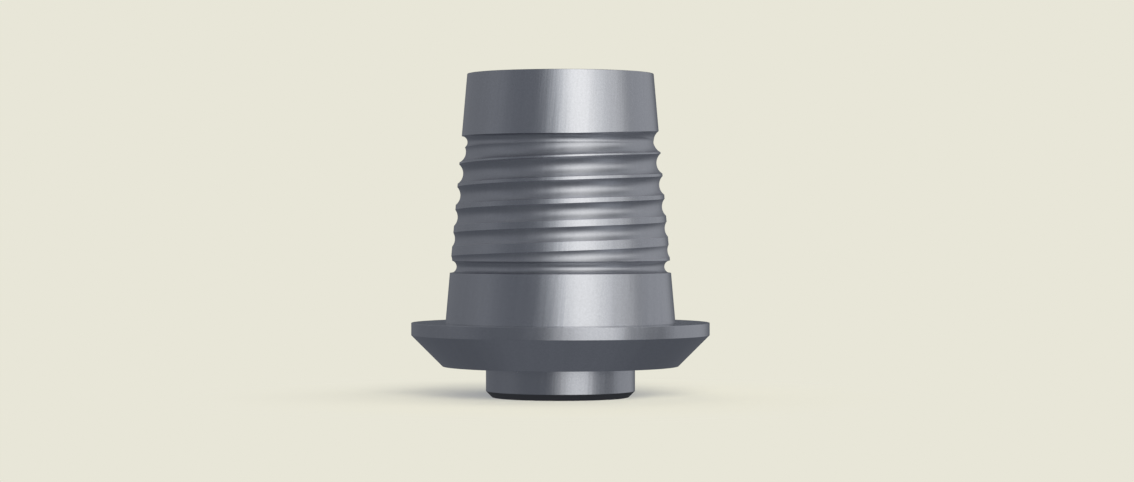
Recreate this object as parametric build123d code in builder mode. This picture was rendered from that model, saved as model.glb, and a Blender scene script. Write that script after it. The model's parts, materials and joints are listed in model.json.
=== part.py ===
from build123d import *
from math import atan, ceil, cos, degrees, radians, sqrt, tan
import os

# Bonding base for an implant crown, turned from one bar of titanium.
# Millimetres and degrees. The axis is +Z and the foot of the hub stands on Z = 0.

# Hub, the plain round spigot that drops into the implant
hub_diameter = 2.4
hub_length = 0.5
hub_edge_break = 0.1

# Collar that flares out from the implant to the crown margin
seat_diameter = 3.8
margin_diameter = 4.8
flare_height = 0.5
band_height = 0.2

# Tapered post that the crown is bonded over, measured up from the margin shoulder
post_base_diameter = 3.7
post_height = 4.0
post_taper = 5.0
lower_collar_height = 0.8
upper_collar_height = 1.0

# Round-bottomed ring groove at each end of the spiral, centred on the post's surface
ring_groove_radius = 0.1

# Spiral retention groove, cut deeper towards the top
spiral_tool_radius = 0.2
spiral_pitch = 0.35
spiral_depth_low = 0.016
spiral_depth_high = 0.094
spiral_overrun = 0.05
spiral_start_angle = 82.0
cutter_clearance = 0.05
turns_per_sweep = 0.8

# Channel for the abutment screw
screw_hole_diameter = 1.8
access_diameter = 2.4
screw_seat_height = 1.2
screw_seat_angle = 45.0
channel_edge_break = 0.05

# Worked out from the sizes above
band_bottom = hub_length + flare_height
shoulder = band_bottom + band_height
rim = shoulder + post_height
lower_ring = shoulder + lower_collar_height + ring_groove_radius
upper_ring = rim - upper_collar_height - ring_groove_radius
spiral_end = upper_ring + spiral_overrun
screw_seat_width = (access_diameter - screw_hole_diameter) / 2
access_floor = screw_seat_height + screw_seat_width / tan(radians(screw_seat_angle))


def post_radius(height):
    """Radius of the tapered post at a height above the foot."""
    return post_base_diameter / 2 - (height - shoulder) * tan(radians(post_taper))


def tool_path_radius(height):
    """Distance of the spiral tool's centre from the axis at a height above the foot."""
    along = (height - lower_ring) / (upper_ring - lower_ring)
    depth = spiral_depth_low + along * (spiral_depth_high - spiral_depth_low)
    return post_radius(height) - depth + spiral_tool_radius


def tool_path(bottom, top):
    """Stretch of the tool centre's conical helix between two heights, starting over the X axis."""
    taper = atan((tool_path_radius(bottom) - tool_path_radius(top)) / (top - bottom))
    return Helix(
        pitch=spiral_pitch / cos(taper),
        height=top - bottom,
        radius=tool_path_radius(bottom),
        center=(0, 0, bottom),
        cone_angle=-degrees(taper),
    )


def across(path, position):
    """Plane square to the tool's path, with its X axis pointing away from the post."""
    centre = path @ position
    return Plane(origin=centre, x_dir=(centre.X, centre.Y, 0), z_dir=path % position)


def turn_to_place(cutter, bottom):
    """Turn a cutter that starts over the X axis to where the spiral has reached its height."""
    return cutter.rotate(Axis.Z, spiral_start_angle + 360 * (bottom - lower_ring) / spiral_pitch)


def spiral_cutter(bottom, top):
    """Metal swept out by the round-nosed tool between two heights."""
    path = tool_path(bottom, top)
    with BuildPart() as cutter:
        with BuildSketch(across(path, 0)):
            Circle(spiral_tool_radius)
        sweep(path=path, is_frenet=True)
    return turn_to_place(cutter.part, bottom)


def run_out_cutter(bottom, top):
    """Straight run along the tangent, in which the tool leaves the metal after the last stretch."""
    path = tool_path(bottom, top)
    root = tool_path_radius(top) - spiral_tool_radius
    length = sqrt(post_radius(top) ** 2 - root**2) + cutter_clearance
    with BuildPart() as cutter:
        with BuildSketch(across(path, 1)):
            Circle(spiral_tool_radius)
        extrude(amount=length)
    return turn_to_place(cutter.part, bottom)


def spiral_cutters():
    """The whole spiral in stretches shorter than a turn, so that no cutter runs into itself."""
    rise = spiral_end - lower_ring
    count = ceil(rise / (spiral_pitch * turns_per_sweep))
    heights = [lower_ring + rise * step / count for step in range(count + 1)]
    stretches = list(zip(heights, heights[1:]))
    return [spiral_cutter(*stretch) for stretch in stretches] + [run_out_cutter(*stretches[-1])]


cutters = spiral_cutters()

with BuildPart() as abutment_body:
    # Turned outline with its two ring grooves
    with BuildSketch(Plane.XZ):
        with BuildLine():
            Polyline(
                (0, 0),
                (hub_diameter / 2 - hub_edge_break, 0),
                (hub_diameter / 2, hub_edge_break),
                (hub_diameter / 2, hub_length),
                (seat_diameter / 2, hub_length),
                (margin_diameter / 2, band_bottom),
                (margin_diameter / 2, shoulder),
                (post_radius(shoulder), shoulder),
                (post_radius(rim), rim),
                (0, rim),
                close=True,
            )
        make_face()
        with Locations((post_radius(lower_ring), lower_ring), (post_radius(upper_ring), upper_ring)):
            Circle(ring_groove_radius, mode=Mode.SUBTRACT)
    revolve(axis=Axis.Z)

    # Spiral retention groove
    for cutter in cutters:
        add(cutter, mode=Mode.SUBTRACT)

    # Screw channel: hole through the hub, conical screw seat and wide access above it
    with BuildSketch(Plane.XZ):
        with BuildLine():
            Polyline(
                (0, 0),
                (screw_hole_diameter / 2 + channel_edge_break, 0),
                (screw_hole_diameter / 2, channel_edge_break),
                (screw_hole_diameter / 2, screw_seat_height),
                (access_diameter / 2, access_floor),
                (access_diameter / 2, rim - channel_edge_break),
                (access_diameter / 2 + channel_edge_break, rim),
                (0, rim),
                close=True,
            )
        make_face()
    revolve(axis=Axis.Z, mode=Mode.SUBTRACT)

abutment_body.part.label = "abutment_body"
os.makedirs("parts", exist_ok=True)
export_step(abutment_body.part, "parts/abutment_body.step")
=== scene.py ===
"""Looks of a dental bonding base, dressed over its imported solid.

The frame is the solid's own: metres, +Z up along the turning axis, the hub's foot on Z = 0.
Sizes are in millimetres until a mesh is finished, apart from the floor's and the dome's, in metres.
"""
import json
from math import ceil, cos, pi, radians, sin, tan, tau
from typing import NamedTuple

import bmesh
import bpy
import numpy as np
from mathutils import Matrix, Vector


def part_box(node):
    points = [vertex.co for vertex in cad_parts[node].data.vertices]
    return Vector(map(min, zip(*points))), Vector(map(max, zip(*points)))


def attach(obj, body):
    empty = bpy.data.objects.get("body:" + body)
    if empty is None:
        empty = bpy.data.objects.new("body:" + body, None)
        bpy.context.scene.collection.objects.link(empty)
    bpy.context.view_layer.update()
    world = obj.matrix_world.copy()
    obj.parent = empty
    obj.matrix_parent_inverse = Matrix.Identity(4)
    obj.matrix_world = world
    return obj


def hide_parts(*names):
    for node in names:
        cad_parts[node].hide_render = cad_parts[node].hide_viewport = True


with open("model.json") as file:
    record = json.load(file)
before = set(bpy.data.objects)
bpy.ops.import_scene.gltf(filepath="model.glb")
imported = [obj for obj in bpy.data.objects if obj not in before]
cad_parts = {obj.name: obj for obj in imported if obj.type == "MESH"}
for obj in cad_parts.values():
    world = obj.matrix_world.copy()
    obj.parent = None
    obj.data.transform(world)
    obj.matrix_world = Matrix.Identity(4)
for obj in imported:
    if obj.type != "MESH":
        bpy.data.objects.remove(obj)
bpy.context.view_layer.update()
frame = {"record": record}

MM = 0.001
NODE = "abutment_body"
MOUNTS = {mount["name"]: mount for mount in frame["record"]["mounts"]}


def height_of(mount):
    """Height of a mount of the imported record, in millimetres."""
    return MOUNTS[mount]["pos_m"][2] / MM


def radius_of(mount):
    """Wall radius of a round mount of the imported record, in millimetres."""
    return MOUNTS[mount]["dims"]["r_mm"]


# Sizes that the frame gives, millimetres
_, box_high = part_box(NODE)
margin_radius = box_high.x / MM
rim = box_high.z / MM
hub_radius = radius_of("implant_hub")
seat = height_of("implant_seat")
shoulder = height_of("crown_margin")
access_radius = radius_of("access_channel")
screw_hole_radius = radius_of("screw_hole")

# Sizes that the frame doesn't give, as in the part's source
seat_radius = 1.9
band_height = 0.2
hub_edge_break = 0.1
channel_edge_break = 0.05
screw_seat_height = 1.2
screw_seat_angle = radians(45)
post_base_radius = 1.85
post_taper = radians(5)
lower_collar_height = 0.8
upper_collar_height = 1.0
ring_groove_radius = 0.1
spiral_tool_radius = 0.2
spiral_pitch = 0.35
spiral_depth_low = 0.016
spiral_depth_high = 0.094
spiral_overrun = 0.05
spiral_start_angle = radians(82)

# Worked out from the sizes above
band_bottom = shoulder - band_height
lower_ring = shoulder + lower_collar_height + ring_groove_radius
upper_ring = rim - upper_collar_height - ring_groove_radius
spiral_end = upper_ring + spiral_overrun
spiral_turns = (spiral_end - lower_ring) / spiral_pitch
access_floor = screw_seat_height + (access_radius - screw_hole_radius) / tan(screw_seat_angle)

# Fineness of the mesh: counts, angles and lengths in millimetres
COLUMNS = 360
ARC_STEP = radians(6)
LEAST_GAP = 0.005
SEARCH_STEP = 0.001
HALVINGS = 30
EDGE_ROUND = 0.008
ROUND_STEPS = 3
SHARP_ANGLE = radians(35)

# The spiral's straight run-out has left the metal well before this angle past the spiral's end
RUN_OUT_LIMIT = radians(45)


class Cut(NamedTuple):
    """Round-nosed cut, as a half plane through the axis shows it.

    It is as wide as its nose to both sides, and its reach is how far it goes in from its centre.
    """

    centre_radius: float
    centre_height: float
    reach: float
    nose: float

    def radius_at(self, heights):
        """Radius that the cut leaves at some heights, infinite where it doesn't reach."""
        off = np.clip((heights - self.centre_height) / self.nose, -1, 1)
        left = self.centre_radius - self.reach * np.sqrt(1 - off**2)
        return np.where(np.abs(off) < 1, left, np.inf)


class Point(NamedTuple):
    """Point of an outline: what it lies between, and the surface that starts there."""

    height: float
    radius: float
    key: tuple
    surface: object


class Corner(NamedTuple):
    """Point of an outline that is in the mesh already, known by its index there."""

    index: int
    key: tuple
    surface: object


def post_radius(height):
    """Radius of the tapered post before any groove."""
    return post_base_radius - (height - shoulder) * tan(post_taper)


def tool_path_radius(height):
    """Distance of the spiral tool's centre from the axis."""
    along = (height - lower_ring) / (upper_ring - lower_ring)
    depth = spiral_depth_low + along * (spiral_depth_high - spiral_depth_low)
    return post_radius(height) - depth + spiral_tool_radius


def spiral_cut(turns):
    """The spiral's cut that many turns from its start, or its straight run-out past its end."""
    past = tau * (turns - spiral_turns)
    if past <= 0:
        height = lower_ring + turns * spiral_pitch
        return Cut(tool_path_radius(height), height, spiral_tool_radius, spiral_tool_radius)
    if past > RUN_OUT_LIMIT:
        return None
    end_radius = tool_path_radius(spiral_end)
    height = spiral_end + tan(past) * spiral_pitch / tau
    return Cut(end_radius / cos(past), height, spiral_tool_radius / cos(past), spiral_tool_radius)


def cuts_at(turn):
    """Every cut that the post's outline meets, that share of a turn round from the spiral's start."""
    cuts = {
        "lower ring": Cut(post_radius(lower_ring), lower_ring, ring_groove_radius, ring_groove_radius),
        "upper ring": Cut(post_radius(upper_ring), upper_ring, ring_groove_radius, ring_groove_radius),
    }
    for lap in range(ceil(spiral_turns) + 1):
        cut = spiral_cut(lap + turn)
        if cut:
            cuts[lap] = cut
    return cuts


def surface_radius(cuts, name, height):
    """Radius of one surface of the outline at a height."""
    return post_radius(height) if name == "post" else float(cuts[name].radius_at(np.array(height)))


def handover(cuts, below, above, low, high):
    """Point between two heights at which one surface of the outline meets the next."""
    for _ in range(HALVINGS):
        height = (low + high) / 2
        meeting = [surface_radius(cuts, name, height) for name in (below, above)]
        if meeting[0] <= meeting[1]:
            low = height
        else:
            high = height
    return height, max(meeting)


def arc_points(cuts, name, low, high):
    """Points of one cut at fixed angles round its nose, between two heights and clear of both."""
    cut = cuts[name]
    most = int(pi / 2 / ARC_STEP)
    for step in range(-most, most + 1):
        height = cut.centre_height + cut.nose * sin(step * ARC_STEP)
        if low + LEAST_GAP < height < high - LEAST_GAP:
            radius = cut.centre_radius - cut.reach * cos(step * ARC_STEP)
            yield Point(height, radius, (name, name, step), name)


def post_outline(turn, low, high):
    """Outline of the grooved post between two heights, that share of a turn round."""
    cuts = cuts_at(turn)
    heights = np.arange(low, high, SEARCH_STEP)
    names = ["post", *cuts]
    radii = np.array([post_radius(heights), *(cut.radius_at(heights) for cut in cuts.values())])
    owners = [names[index] for index in np.argmin(radii, axis=0)]
    outline = [Point(low, post_radius(low), ("foot", "foot", 0), owners[0])]
    for index in range(1, len(owners)):
        below, above = owners[index - 1], owners[index]
        if below == above:
            continue
        height, radius = handover(cuts, below, above, heights[index - 1], heights[index])
        if below != "post":
            outline += arc_points(cuts, below, outline[-1].height, height)
        outline.append(Point(height, radius, (below, above, 0), above))
    outline.append(Point(high, post_radius(high), ("rim", "rim", 0), "post"))
    return outline


def next_lap(name):
    """Name of a surface as the column one whole turn on knows it."""
    return name - 1 if isinstance(name, int) else name


def rounded_corner(before, corner, after, radius):
    """Points of the small round that replaces one corner of the turned outline."""
    before, corner, after = map(np.array, (before, corner, after))
    towards = (before - corner) / np.linalg.norm(before - corner)
    away = (after - corner) / np.linalg.norm(after - corner)
    half = np.arccos(np.clip(towards @ away, -1, 1)) / 2
    centre = corner + (towards + away) / np.linalg.norm(towards + away) * radius / sin(half)
    start = corner + towards * radius / tan(half) - centre
    end = corner + away * radius / tan(half) - centre
    sweep = pi - 2 * half
    for step in range(ROUND_STEPS + 1):
        share = step / ROUND_STEPS
        point = (sin((1 - share) * sweep) * start + sin(share * sweep) * end) / sin(sweep)
        yield tuple(centre + point)


def turns_left(before, corner, after):
    """True where the outline turns left at a corner, which is an outer corner of the metal."""
    (x, y), (next_x, next_y) = np.subtract(corner, before), np.subtract(after, corner)
    return x * next_y > y * next_x


def turned_outline():
    """Outline from the rim in, down the screw channel, under the hub and out to the post's foot."""
    corners = [
        (post_radius(rim), rim),
        (access_radius + channel_edge_break, rim),
        (access_radius, rim - channel_edge_break),
        (access_radius, access_floor),
        (screw_hole_radius, screw_seat_height),
        (screw_hole_radius, channel_edge_break),
        (screw_hole_radius + channel_edge_break, 0),
        (hub_radius - hub_edge_break, 0),
        (hub_radius, hub_edge_break),
        (hub_radius, seat),
        (seat_radius, seat),
        (margin_radius, band_bottom),
        (margin_radius, shoulder),
        (post_base_radius, shoulder),
    ]
    count = len(corners)
    outline = []
    for index, corner in enumerate(corners):
        before, after = corners[index - 1], corners[(index + 1) % count]
        if turns_left(before, corner, after):
            outline += rounded_corner(before, corner, after, EDGE_ROUND)
        else:
            outline.append(corner)
    return outline


class Turning:
    """Mesh of a body whose outline changes a little from one angle to the next, in millimetres."""

    def __init__(self):
        self.points = []
        self.faces = []
        self.surfaces = []

    def add_point(self, radius, height, angle):
        """Add a point and return its index."""
        self.points.append((radius * cos(angle), radius * sin(angle), height))
        return len(self.points) - 1

    def add_face(self, indexes, surface):
        """Add a face between points and note the surface that it belongs to."""
        self.faces.append(indexes)
        self.surfaces.append(surface)

    def strip(self, here, there):
        """Quads between two columns of as many points, outside the grooves."""
        for low in range(len(here) - 1):
            self.add_face((here[low], there[low], there[low + 1], here[low + 1]), "post")

    def zip_columns(self, here, there):
        """Faces between two columns of corners: quads where the keys agree, or else triangles."""
        here_at, there_at = 0, 0
        while here_at < len(here) - 1 or there_at < len(there) - 1:
            first, second = here[here_at], there[there_at]
            here_left, there_left = here[here_at + 1 :], there[there_at + 1 :]
            if here_left and there_left and here_left[0].key == there_left[0].key:
                quad = (first.index, second.index, there_left[0].index, here_left[0].index)
                self.add_face(quad, first.surface)
                here_at, there_at = here_at + 1, there_at + 1
            elif here_left and (not there_left or self.comes_first(here_left, there_left)):
                self.add_face((first.index, second.index, here_left[0].index), first.surface)
                here_at += 1
            else:
                self.add_face((first.index, second.index, there_left[0].index), second.surface)
                there_at += 1

    def comes_first(self, here_left, there_left):
        """True if the first column's next corner comes next, so that equal keys stay level."""
        here_waits = any(corner.key == here_left[0].key for corner in there_left)
        there_waits = any(corner.key == there_left[0].key for corner in here_left)
        if here_waits != there_waits:
            return there_waits
        return self.points[here_left[0].index][2] <= self.points[there_left[0].index][2]


def grooved_body():
    """Mesh of the whole turned body, with each groove's edges along the mesh's own edges."""
    turning = Turning()
    plain = turned_outline()
    rim_edge, foot_edge = plain[0][1], plain[-1][1]
    columns = []
    for column in range(COLUMNS):
        turn = column / COLUMNS
        angle = spiral_start_angle + turn * tau
        rest = [turning.add_point(radius, height, angle) for radius, height in plain]
        foot, *between, top = post_outline(turn, foot_edge, rim_edge)
        post = [Corner(rest[-1], foot.key, foot.surface)]
        for point in between:
            index = turning.add_point(point.radius, point.height, angle)
            post.append(Corner(index, point.key, point.surface))
        post.append(Corner(rest[0], top.key, top.surface))
        columns.append((rest, post))
    rest, post = columns[0]
    one_lap_on = [
        Corner(index, (next_lap(low), next_lap(high), step), next_lap(surface))
        for index, (low, high, step), surface in post
    ]
    columns.append((rest, one_lap_on))
    for (rest, post), (next_rest, next_post) in zip(columns, columns[1:]):
        turning.strip(rest, next_rest)
        turning.zip_columns(post, next_post)
    return turning


def weigh_normals(piece):
    """Turn the normals towards the larger faces, so that flat faces shade flat beside small rounds.

    The mesh is still in millimetres here, because the modifier drops faces as small as it has in metres.
    """
    weighted = piece.modifiers.new("weighted", "WEIGHTED_NORMAL")
    weighted.keep_sharp = True
    depsgraph = bpy.context.evaluated_depsgraph_get()
    made = piece.evaluated_get(depsgraph)
    plain = piece.data
    piece.data = bpy.data.meshes.new_from_object(made, preserve_all_data_layers=True, depsgraph=depsgraph)
    piece.modifiers.clear()
    bpy.data.meshes.remove(plain)
    piece.data.name = piece.name


def mesh_object(name, turning):
    """Object of a turning, smooth apart from the lines where two of its surfaces meet."""
    mesh = bpy.data.meshes.new(name)
    mesh.from_pydata(turning.points, [], turning.faces)
    editable = bmesh.new()
    editable.from_mesh(mesh)
    editable.faces.ensure_lookup_table()
    bmesh.ops.recalc_face_normals(editable, faces=editable.faces)
    for edge in editable.edges:
        meeting = {turning.surfaces[face.index] for face in edge.link_faces}
        edge.smooth = len(meeting) == 1 and edge.calc_face_angle(0) < SHARP_ANGLE
    for face in editable.faces:
        face.smooth = True
    editable.to_mesh(mesh)
    editable.free()
    piece = bpy.data.objects.new(name, mesh)
    bpy.context.scene.collection.objects.link(piece)
    weigh_normals(piece)
    piece.data.transform(Matrix.Scale(MM, 4))
    return piece


# Materials

# Range in which nearly all values of a noise texture lie
NOISE_LOW = 0.3
NOISE_HIGH = 0.7


class Nodes:
    """Short way to add and join the shader nodes of a material or world."""

    def __init__(self, owner):
        owner.use_nodes = True
        self.tree = owner.node_tree
        self.tree.nodes.clear()

    def add(self, kind, **values):
        """Add a node and set some of its own values."""
        node = self.tree.nodes.new(kind)
        for name, value in values.items():
            setattr(node, name, value)
        return node

    def join(self, source, target):
        """Link an output to an input."""
        self.tree.links.new(source, target)

    def result(self, kind, *inputs, **values):
        """Output of a new node, with its first inputs given as sockets or plain numbers."""
        node = self.add(kind, **values)
        for socket, value in zip(node.inputs, inputs):
            if isinstance(value, bpy.types.NodeSocket):
                self.join(value, socket)
            else:
                socket.default_value = value
        return node.outputs[0]

    def math(self, operation, *inputs):
        """Result of a sum, product or other operation on numbers."""
        return self.result("ShaderNodeMath", *inputs, operation=operation)

    def combine(self, *inputs):
        """Vector of three numbers."""
        return self.result("ShaderNodeCombineXYZ", *inputs)

    def noise(self, vector, detail, scale=1.0):
        """Noise texture, read at a vector."""
        node = self.add("ShaderNodeTexNoise")
        self.join(vector, node.inputs["Vector"])
        node.inputs["Scale"].default_value = scale
        node.inputs["Detail"].default_value = detail
        return node.outputs["Fac"]

    def spread(self, noise, middle, half):
        """A noise value turned into the range that goes that half to both sides of the middle."""
        node = self.add("ShaderNodeMapRange")
        self.join(noise, node.inputs["Value"])
        node.inputs["From Min"].default_value = NOISE_LOW
        node.inputs["From Max"].default_value = NOISE_HIGH
        node.inputs["To Min"].default_value = middle - half
        node.inputs["To Max"].default_value = middle + half
        return node.outputs[0]

    def glow(self, colour, strength=1.0):
        """Even glow of one colour."""
        node = self.add("ShaderNodeEmission")
        node.inputs["Color"].default_value = (*colour, 1.0)
        node.inputs["Strength"].default_value = strength
        return node.outputs[0]

    def show(self, shader, output="ShaderNodeOutputMaterial"):
        """Make a shader the one that the material or world shows."""
        self.join(shader, self.add(output).inputs["Surface"])


# Titanium: its colour and roughness, and how far noise takes them to both sides
TITANIUM = (0.56, 0.57, 0.60)
ROUGHNESS = 0.25
GROOVE_ROUGHNESS = 0.38
GRAIN_SHADE = 0.04
STREAK_SHADE = 0.02
STREAK_ROUGHNESS = 0.015
CLOUD_ROUGHNESS = 0.01

# Scales of the noises, to the millimetre, and the streaks' lean
GRAIN_SCALE = 35.0
CLOUD_SCALE = 1.6
TURNING_SCALE = 60.0
STREAK_SCALE_ROUND = 9.0
STREAK_SCALE_ALONG = 0.5
STREAK_LEAN = -0.1

# Depths of the surface's relief, millimetres
GRAIN_DEPTH = 0.0002
TURNING_DEPTH = 0.00005
STREAK_DEPTH = 0.002

# A groove's rough wall: least depth below the post's cone, and reach past a ring's centre in radii
GROOVE_LEAST_DEPTH = 0.002
GROOVE_REACH = 1.2


def turned_place(nodes):
    """Place on the metal in millimetres, with its radius, its arc round the post and its height."""
    scaled = nodes.add("ShaderNodeVectorMath", operation="SCALE")
    nodes.join(nodes.add("ShaderNodeTexCoord").outputs["Object"], scaled.inputs[0])
    scaled.inputs["Scale"].default_value = 1 / MM
    place = scaled.outputs[0]
    split = nodes.add("ShaderNodeSeparateXYZ")
    nodes.join(place, split.inputs[0])
    x, y, height = split.outputs
    squares = nodes.math("ADD", nodes.math("MULTIPLY", x, x), nodes.math("MULTIPLY", y, y))
    radius = nodes.math("SQRT", squares)
    arc = nodes.math("MULTIPLY", nodes.math("ARCTAN2", y, x), post_base_radius)
    return place, radius, arc, height


def in_groove(nodes, radius, height):
    """1 on the walls of the ring grooves and the spiral, 0 on the collars, lands and flange."""
    cone = nodes.math("MULTIPLY_ADD", height, -tan(post_taper), post_radius(0))
    depth = nodes.math("SUBTRACT", cone, radius)
    middle = (lower_ring + upper_ring) / 2
    away = nodes.math("ABSOLUTE", nodes.math("SUBTRACT", height, middle))
    near = nodes.math("LESS_THAN", away, middle - lower_ring + GROOVE_REACH * ring_groove_radius)
    return nodes.math("MULTIPLY", near, nodes.math("GREATER_THAN", depth, GROOVE_LEAST_DEPTH))


def streak_noise(nodes, arc, height):
    """Polishing streaks, which lean a little and run a long way along the axis for their width."""
    lean = nodes.math("ADD", arc, nodes.math("MULTIPLY", height, STREAK_LEAN))
    across = nodes.math("MULTIPLY", lean, STREAK_SCALE_ROUND)
    along = nodes.math("MULTIPLY", height, STREAK_SCALE_ALONG)
    return nodes.noise(nodes.combine(across, along, 0.0), detail=3)


def turning_noise(nodes, radius, height):
    """Fine lines round the axis, as the turning tool leaves them."""
    across = nodes.math("MULTIPLY", radius, TURNING_SCALE)
    along = nodes.math("MULTIPLY", height, TURNING_SCALE)
    return nodes.noise(nodes.combine(across, along, 0.0), detail=2)


def titanium_colour(nodes, grain, streak):
    """The metal's colour, a little lighter or darker from place to place."""
    tint = nodes.add("ShaderNodeMix", data_type="RGBA", blend_type="MULTIPLY")
    tint.inputs["Factor"].default_value = 1.0
    tint.inputs["A"].default_value = (*TITANIUM, 1.0)
    grain_shade = nodes.spread(grain, 1, GRAIN_SHADE)
    shade = nodes.math("MULTIPLY", grain_shade, nodes.spread(streak, 1, STREAK_SHADE))
    nodes.join(nodes.combine(shade, shade, shade), tint.inputs["B"])
    return tint.outputs["Result"]


def titanium_roughness(nodes, groove, streak, cloud):
    """The metal's roughness, which is higher in the grooves and a little uneven everywhere."""
    finish = nodes.math("MULTIPLY_ADD", groove, GROOVE_ROUGHNESS - ROUGHNESS, ROUGHNESS)
    uneven = nodes.math(
        "ADD", nodes.spread(streak, 0, STREAK_ROUGHNESS), nodes.spread(cloud, 0, CLOUD_ROUGHNESS)
    )
    return nodes.math("ADD", finish, uneven)


def titanium_normal(nodes, grain, turning, streak):
    """The metal's normal, tilted by its fine relief."""
    relief = nodes.math("MULTIPLY", grain, GRAIN_DEPTH)
    relief = nodes.math("MULTIPLY_ADD", turning, TURNING_DEPTH, relief)
    relief = nodes.math("MULTIPLY_ADD", streak, STREAK_DEPTH, relief)
    bump = nodes.add("ShaderNodeBump")
    bump.inputs["Distance"].default_value = MM
    nodes.join(relief, bump.inputs["Height"])
    return bump.outputs["Normal"]


def titanium():
    """Satin machined titanium: fine grain, faint turning lines and slanting polishing streaks."""
    material = bpy.data.materials.new("satin_titanium")
    nodes = Nodes(material)
    place, radius, arc, height = turned_place(nodes)
    grain = nodes.noise(place, detail=3, scale=GRAIN_SCALE)
    cloud = nodes.noise(place, detail=3, scale=CLOUD_SCALE)
    streak = streak_noise(nodes, arc, height)
    turning = turning_noise(nodes, radius, height)
    groove = in_groove(nodes, radius, height)
    shader = nodes.add("ShaderNodeBsdfPrincipled")
    shader.inputs["Metallic"].default_value = 1.0
    nodes.join(titanium_colour(nodes, grain, streak), shader.inputs["Base Color"])
    nodes.join(titanium_roughness(nodes, groove, streak, cloud), shader.inputs["Roughness"])
    nodes.join(titanium_normal(nodes, grain, turning, streak), shader.inputs["Normal"])
    nodes.show(shader.outputs[0])
    return material


# Floor: its colour, the glow that lightens its shadow, and where it runs into the background
PALE = (0.807, 0.791, 0.686)
SHADOW_FILL = 0.40
FILL_TINT = (0.966, 1.010, 1.196)
FADE_START = 1.5
FADE_END = 6.0


def seen_directly(nodes):
    """1 for camera, glossy and transmission rays, which are shown the plain background."""
    path = nodes.add("ShaderNodeLightPath").outputs
    shown = nodes.math("MAXIMUM", path["Is Camera Ray"], path["Is Glossy Ray"])
    return nodes.math("MAXIMUM", shown, path["Is Transmission Ray"])


def distance_fade(nodes):
    """0 near the part and 1 further out on the floor."""
    length = nodes.add("ShaderNodeVectorMath", operation="LENGTH")
    nodes.join(nodes.add("ShaderNodeTexCoord").outputs["Object"], length.inputs[0])
    fade = nodes.add("ShaderNodeMapRange", interpolation_type="SMOOTHSTEP")
    nodes.join(length.outputs["Value"], fade.inputs["Value"])
    fade.inputs["From Min"].default_value = FADE_START * MM
    fade.inputs["From Max"].default_value = FADE_END * MM
    return fade.outputs[0]


def floor_material():
    """Pale floor that keeps a light shadow near the part and runs into the background further out."""
    material = bpy.data.materials.new("pale_floor")
    nodes = Nodes(material)
    seen = seen_directly(nodes)

    def blend(share, first, second):
        """The first shader with a share of the second, which only rays that see it directly get."""
        mix = nodes.add("ShaderNodeMixShader")
        nodes.join(nodes.math("MULTIPLY", seen, share), mix.inputs["Fac"])
        nodes.join(first, mix.inputs[1])
        nodes.join(second, mix.inputs[2])
        return mix.outputs[0]

    lit = nodes.add("ShaderNodeBsdfDiffuse")
    lit.inputs["Color"].default_value = (*PALE, 1.0)
    fill = [pale * tint for pale, tint in zip(PALE, FILL_TINT)]
    filled = blend(SHADOW_FILL, lit.outputs[0], nodes.glow(fill))
    nodes.show(blend(distance_fade(nodes), filled, nodes.glow(PALE)))
    return material


# Studio

FLOOR_HALF = 2.0
DOME_RADIUS = 0.3
DOME_STEP = 3
AMBER_WHITE = (1.0, 0.92, 0.80)
WARM_WHITE = (1.0, 0.98, 0.94)
WHITE = (1.0, 1.0, 0.99)
COOL_WHITE = (1.0, 1.03, 1.05)
PALE_BLUE = (1.0, 1.01, 1.04)
BLUE_GREY = (1.0, 1.045, 1.15)
DEEP_BLUE_GREY = (1.0, 1.07, 1.23)


def soft_edge(value, edge, blur):
    """0 well below an edge and 1 well above it, with a smooth change across the blur."""
    across = min(max((value - edge) / blur + 0.5, 0), 1)
    return across * across * (3 - 2 * across)


class Panel(NamedTuple):
    """Soft-edged light panel, between two azimuths and two elevations, with a blur across each edge.

    All are degrees. Azimuth 0 is towards the camera, and azimuths grow to the camera's right.
    """

    azimuths: tuple
    elevations: tuple
    side_blurs: tuple
    end_blurs: tuple
    radiance: float
    colour: tuple

    def share(self, azimuth, elevation):
        """1 on the panel and 0 off it, with a smooth change across each blurred edge."""
        middle = sum(self.azimuths) / 2
        off = (azimuth - middle + 180) % 360 - 180
        across = soft_edge(off, self.azimuths[0] - middle, self.side_blurs[0])
        across *= soft_edge(-off, middle - self.azimuths[1], self.side_blurs[1])
        along = soft_edge(elevation, self.elevations[0], self.end_blurs[0])
        return across * along * soft_edge(-elevation, -self.elevations[1], self.end_blurs[1])


ROOM_COLOUR = DEEP_BLUE_GREY
ROOM_RADIANCE = 0.12
PANELS = {
    "left_back": Panel((-165, -70), (-2, 70), (15, 40), (20, 15), 0.10, PALE_BLUE),
    "left_front": Panel((-90, -15), (0, 60), (50, 10), (25, 20), 0.05, BLUE_GREY),
    "key": Panel((-8, 45), (5, 40), (40, 30), (10, 30), 0.85, COOL_WHITE),
    "key_foot": Panel((2, 48), (-12, 5), (40, 20), (15, 10), 0.88, WHITE),
    "key_core": Panel((5, 42), (7, 35), (25, 25), (10, 20), 0.60, AMBER_WHITE),
    "side": Panel((45, 83), (3, 30), (15, 30), (10, 20), 0.70, WHITE),
    "right_wall": Panel((90, 150), (-12, 65), (20, 30), (25, 20), 0.30, PALE_BLUE),
    "right_low": Panel((45, 75), (-50, -10), (20, 20), (15, 15), 0.25, BLUE_GREY),
    "over_key": Panel((10, 55), (45, 70), (20, 20), (30, 15), 0.85, WARM_WHITE),
    "ceiling_right": Panel((-5, 185), (70, 180), (20, 20), (15, 15), 0.90, PALE_BLUE),
    "ground": Panel((-200, 200), (-180, -60), (10, 10), (10, 20), 0.03, BLUE_GREY),
}

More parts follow.
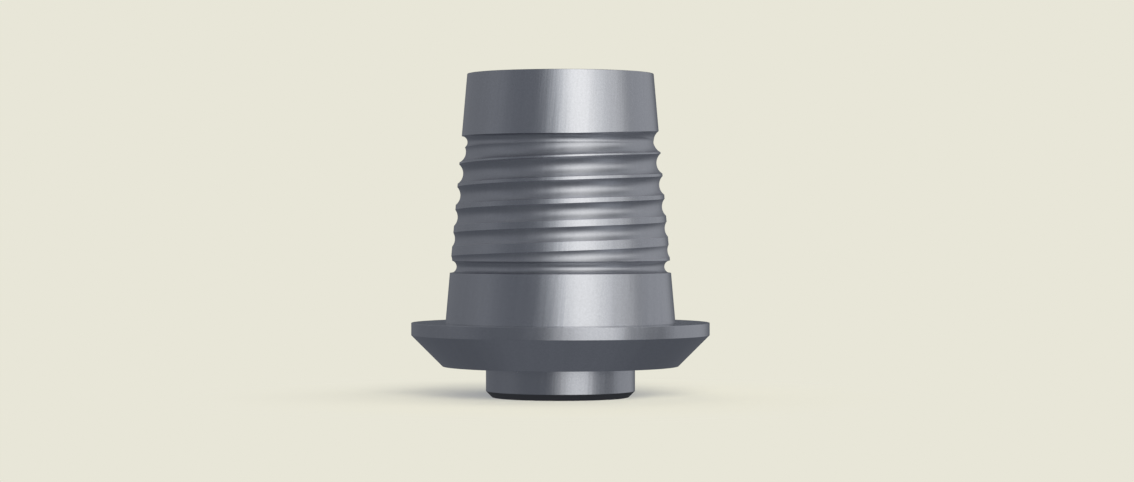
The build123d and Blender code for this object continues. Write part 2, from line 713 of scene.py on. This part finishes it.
# Painted shadow: a dark disc under the hub that the metal mirrors in place of the floor's darkest shadow,
# millimetres
CONTACT_RADIUS = 1.5
PAINTED_SHADOW_RADIANCE = 0.04
CONTACT_CORNERS = 48

# Lamps that light the floor: name, azimuth, elevation, share of the floor's light, width in degrees
LAMP_TINT = (1.031, 0.991, 0.819)
LAMPS = (
    ("front", 10, 20, 0.55, 35),
    ("front_right", 40, 25, 0.10, 35),
    ("right", 90, 35, 0.15, 40),
    ("top", -135, 65, 0.20, 60),
)

# Camera: its place and its nearest sight in millimetres of the part, its tilt in degrees
CAMERA_PLACE = (0.105, -46.27, 2.683)
CAMERA_NEAREST = 2
CAMERA_TILT_DOWN = 0.212
FOCAL_LENGTH = 91.24
SENSOR_WIDTH = 36.0


def link_mesh(name, points, faces, material):
    """Plain mesh object of the stage."""
    mesh = bpy.data.meshes.new(name)
    mesh.from_pydata(points, [], faces)
    mesh.materials.append(material)
    thing = bpy.data.objects.new(name, mesh)
    bpy.context.scene.collection.objects.link(thing)
    return thing


def add_floor():
    """Wide floor at the hub's foot, which the metal doesn't mirror."""
    corners = [(-1, -1), (1, -1), (1, 1), (-1, 1)]
    points = [(FLOOR_HALF * x, FLOOR_HALF * y, 0.0) for x, y in corners]
    floor = link_mesh("floor", points, [(0, 1, 2, 3)], floor_material())
    floor.visible_glossy = False


def add_world():
    """Pale background for what sees it. The lamps and the dome do all the lighting."""
    world = bpy.data.worlds.new("studio")
    bpy.context.scene.world = world
    nodes = Nodes(world)
    shown = nodes.add("ShaderNodeBackground")
    shown.inputs["Color"].default_value = (*PALE, 1.0)
    nodes.join(seen_directly(nodes), shown.inputs["Strength"])
    nodes.show(shown.outputs[0], "ShaderNodeOutputWorld")


def direction(azimuth, elevation):
    """Unit vector from the part towards an azimuth and elevation in degrees."""
    flat = cos(radians(elevation))
    return Vector(
        (sin(radians(azimuth)) * flat, -cos(radians(azimuth)) * flat, sin(radians(elevation)))
    )


def add_lamp(name, azimuth, elevation, share, width):
    """Wide, even lamp for the floor, which the metal doesn't mirror."""
    lamp = bpy.data.lights.new(name, "SUN")
    lamp.energy = share * pi / sin(radians(elevation))
    lamp.angle = radians(width)
    lamp.color = LAMP_TINT
    thing = bpy.data.objects.new(name, lamp)
    bpy.context.scene.collection.objects.link(thing)
    thing.rotation_mode = "QUATERNION"
    thing.rotation_quaternion = direction(azimuth, elevation).to_track_quat("Z", "Y")
    thing.visible_camera = False
    thing.visible_glossy = False


def only_mirrored(thing):
    """Let nothing but the metal's reflections show a piece of the studio."""
    thing.visible_camera = False
    thing.visible_diffuse = False
    thing.visible_shadow = False


def room_light(azimuth, elevation):
    """Radiance of the room and all its panels in one direction."""
    total = np.array(ROOM_COLOUR) * ROOM_RADIANCE
    for panel in PANELS.values():
        total += np.array(panel.colour) * panel.radiance * panel.share(azimuth, elevation)
    return total


def dome_material():
    """Glow whose colour the dome's points carry."""
    material = bpy.data.materials.new("dome_light")
    nodes = Nodes(material)
    glow = nodes.add("ShaderNodeEmission")
    light = nodes.add("ShaderNodeAttribute", attribute_name="light")
    nodes.join(light.outputs["Color"], glow.inputs["Color"])
    nodes.show(glow.outputs[0])
    return material


def add_dome():
    """Dome round the part that glows with the room and its light panels."""
    azimuths = range(-180, 180, DOME_STEP)
    elevations = range(-90, 91, DOME_STEP)
    columns, rows = len(azimuths), len(elevations)
    places = [(azimuth, elevation) for azimuth in azimuths for elevation in elevations]
    points = [direction(*place) * DOME_RADIUS for place in places]
    faces = []
    for column in range(columns):
        here, there = column * rows, (column + 1) % columns * rows
        faces += [(here + row, there + row, there + row + 1, here + row + 1) for row in range(rows - 1)]
    dome = link_mesh("dome", points, faces, dome_material())
    colours = dome.data.color_attributes.new("light", "FLOAT_COLOR", "POINT")
    for place, colour in zip(places, colours.data):
        colour.color = (*room_light(*place), 1.0)
    only_mirrored(dome)


def add_painted_contact_shadow():
    """Painted shadow: a dark glowing disc right under the hub, seen only in the metal's reflections, that
    stands for the floor's darkest shadow.
    """
    corners = range(CONTACT_CORNERS)
    points = [direction(360 * corner / CONTACT_CORNERS, 0) * CONTACT_RADIUS * MM for corner in corners]
    material = bpy.data.materials.new("contact")
    nodes = Nodes(material)
    nodes.show(nodes.glow(BLUE_GREY, PAINTED_SHADOW_RADIANCE))
    only_mirrored(link_mesh("contact", points, [tuple(corners)], material))


def add_camera():
    """Nearly level view of the photograph, a little to the right of the part's axis."""
    data = bpy.data.cameras.new("camera")
    data.sensor_width = SENSOR_WIDTH
    data.lens = FOCAL_LENGTH
    data.clip_start = CAMERA_NEAREST * MM
    camera = bpy.data.objects.new("camera", data)
    bpy.context.scene.collection.objects.link(camera)
    camera.location = [value * MM for value in CAMERA_PLACE]
    camera.rotation_euler = (radians(90 - CAMERA_TILT_DOWN), 0, 0)
    bpy.context.scene.camera = camera


bpy.context.scene.view_settings.view_transform = "Standard"
add_camera()
add_floor()
add_world()
for lamp in LAMPS:
    add_lamp(*lamp)
add_dome()
add_painted_contact_shadow()

body = mesh_object("abutment", grooved_body())
body.data.materials.append(titanium())
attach(body, "root")
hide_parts(NODE)
